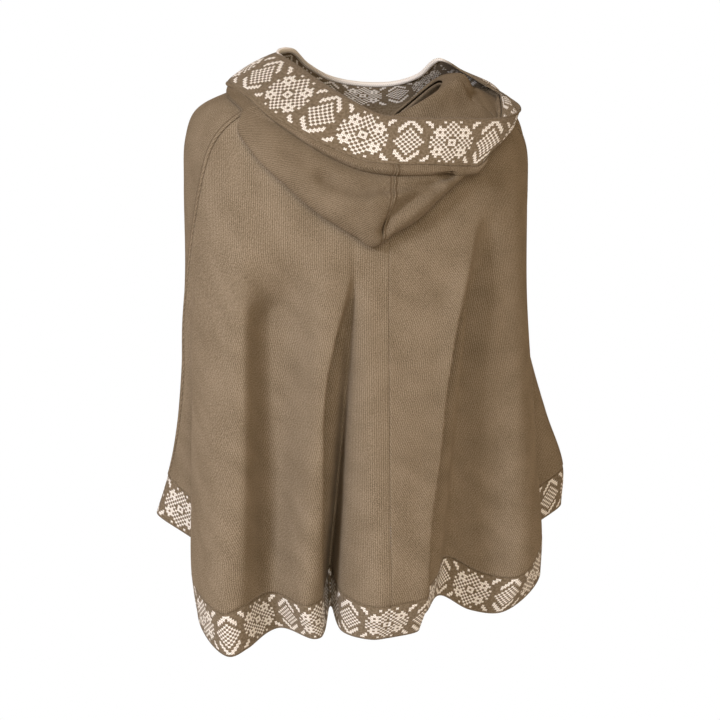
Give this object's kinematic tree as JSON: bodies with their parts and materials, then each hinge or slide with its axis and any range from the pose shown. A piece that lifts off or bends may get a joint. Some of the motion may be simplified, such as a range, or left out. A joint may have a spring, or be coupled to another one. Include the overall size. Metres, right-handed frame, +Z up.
{
  "type": "hooded cape",
  "caption": "Hooded pullover cape in heathered wool with knitted jacquard bands at the hem and the hood's edge, filled out as worn, hood down on the back",
  "frame": {"origin": "between the wearer's shoulders, in the middle of the neck opening and level with the sides of the neck seam", "axes": "+Z up, the back of the cape faces -Y, the front faces +Y, and the wearer's right is +X"},
  "size_m": [0.6244, 0.4274, 0.819],
  "materials": {
    "wool": "fine heathered wool knit, taupe brown, matt and slightly napped",
    "jacquard": "two-colour jacquard knit, cream stars and diamonds on taupe brown"
  },
  "bodies": {
    "root": {"back_left": "wool", "back_right": "wool", "front": "wool", "hood_left": "wool", "hood_right": "wool", "hood_band": "jacquard", "hem_band_back_left": "jacquard", "hem_band_back_right": "jacquard", "hem_band_front": "jacquard"}
  },
  "joints": []
}
